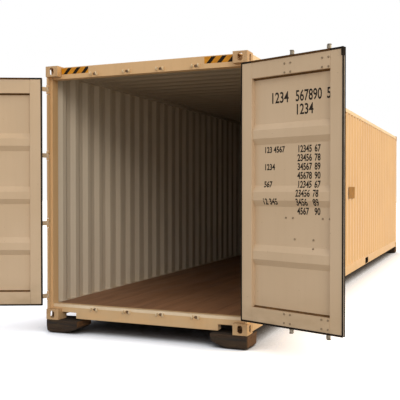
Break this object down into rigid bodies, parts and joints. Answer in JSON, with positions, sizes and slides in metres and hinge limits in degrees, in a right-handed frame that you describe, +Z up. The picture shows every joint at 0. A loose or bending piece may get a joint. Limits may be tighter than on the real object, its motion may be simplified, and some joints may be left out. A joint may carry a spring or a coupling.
{
  "type": "shipping container",
  "caption": "Tall steel freight container on timber blocks, with corrugated walls, two hinged doors standing open, turning locking bars and a plywood floor.",
  "frame": {"origin": "on the ground at the plan centre of the container's own frame, in the plane of the blocks' undersides", "axes": "+X to the right for someone looking in through the doorway, +Y from the doors to the closed end, +Z up"},
  "size_m": [4.5536, 12.8092, 3.046],
  "materials": {
    "container_paint": "tan paint, lightly weathered",
    "door_paint": "beige paint, lightly weathered",
    "galvanised": "hot-dip galvanised",
    "plywood": "worn brown floor plywood",
    "timber": "rough dark sleeper timber",
    "gasket_rubber": "matt black",
    "plate_metal": "dull brown"
  },
  "bodies": {
    "container": {"timber_blocks": "timber", "castings_door_bottom": "container_paint", "castings_door_top": "container_paint", "castings_end_bottom": "container_paint", "castings_end_top": "container_paint", "door_post_left": "container_paint", "door_post_right": "container_paint", "end_post_left": "container_paint", "end_post_right": "container_paint", "door_header": "container_paint", "door_sill": "container_paint", "header_keepers": "container_paint", "sill_keepers": "container_paint", "hinge_lugs_left": "container_paint", "hinge_lugs_right": "container_paint", "end_top_rail": "container_paint", "end_bottom_rail": "container_paint", "top_rail_left": "container_paint", "top_rail_right": "container_paint", "bottom_rail_left": "container_paint", "bottom_rail_right": "container_paint", "side_wall_left": "container_paint", "side_wall_right": "container_paint", "end_wall": "container_paint", "roof_panel": "container_paint", "floor_deck": "plywood", "cross_members": "container_paint", "fork_pockets": "container_paint", "side_plate": "plate_metal"},
    "left_door": {"door_stiles_left": "door_paint", "door_rails_left": "door_paint", "door_panel_left": "door_paint", "door_gasket_left": "gasket_rubber", "hinge_blades_left": "door_paint", "bar_guides_left": "galvanised"},
    "left_outer_bar": {"lock_bar_left_outer": "galvanised"},
    "left_inner_bar": {"lock_bar_left_inner": "galvanised"},
    "right_door": {"door_stiles_right": "door_paint", "door_rails_right": "door_paint", "door_panel_right": "door_paint", "door_gasket_right": "gasket_rubber", "hinge_blades_right": "door_paint", "bar_guides_right": "galvanised"},
    "right_outer_bar": {"lock_bar_right_outer": "galvanised"},
    "right_inner_bar": {"lock_bar_right_inner": "galvanised"}
  },
  "joints": [
    {"name": "left_door_hinge", "type": "hinge", "parent": "container", "child": "left_door", "pos_m": [-1.204, -6.081, 1.6], "axis": [0, 0, -1], "range_deg": [-155, 115]},
    {"name": "right_door_hinge", "type": "hinge", "parent": "container", "child": "right_door", "pos_m": [1.204, -6.081, 1.6], "axis": [0, 0, 1], "range_deg": [-160, 110]},
    {"name": "left_outer_bar_turn", "type": "hinge", "parent": "left_door", "child": "left_outer_bar", "pos_m": [-1.71602, -6.3672, 1.4], "axis": [0, 0, 1], "range_deg": [-110, 0]},
    {"name": "left_inner_bar_turn", "type": "hinge", "parent": "left_door", "child": "left_inner_bar", "pos_m": [-2.09213, -6.54259, 1.4], "axis": [0, 0, -1], "range_deg": [-110, 0]},
    {"name": "right_outer_bar_turn", "type": "hinge", "parent": "right_door", "child": "right_outer_bar", "pos_m": [1.73901, -6.32149, 1.4], "axis": [0, 0, -1], "range_deg": [-110, 0]},
    {"name": "right_inner_bar_turn", "type": "hinge", "parent": "right_door", "child": "right_inner_bar", "pos_m": [2.12899, -6.46343, 1.4], "axis": [0, 0, 1], "range_deg": [-110, 0]}
  ]
}
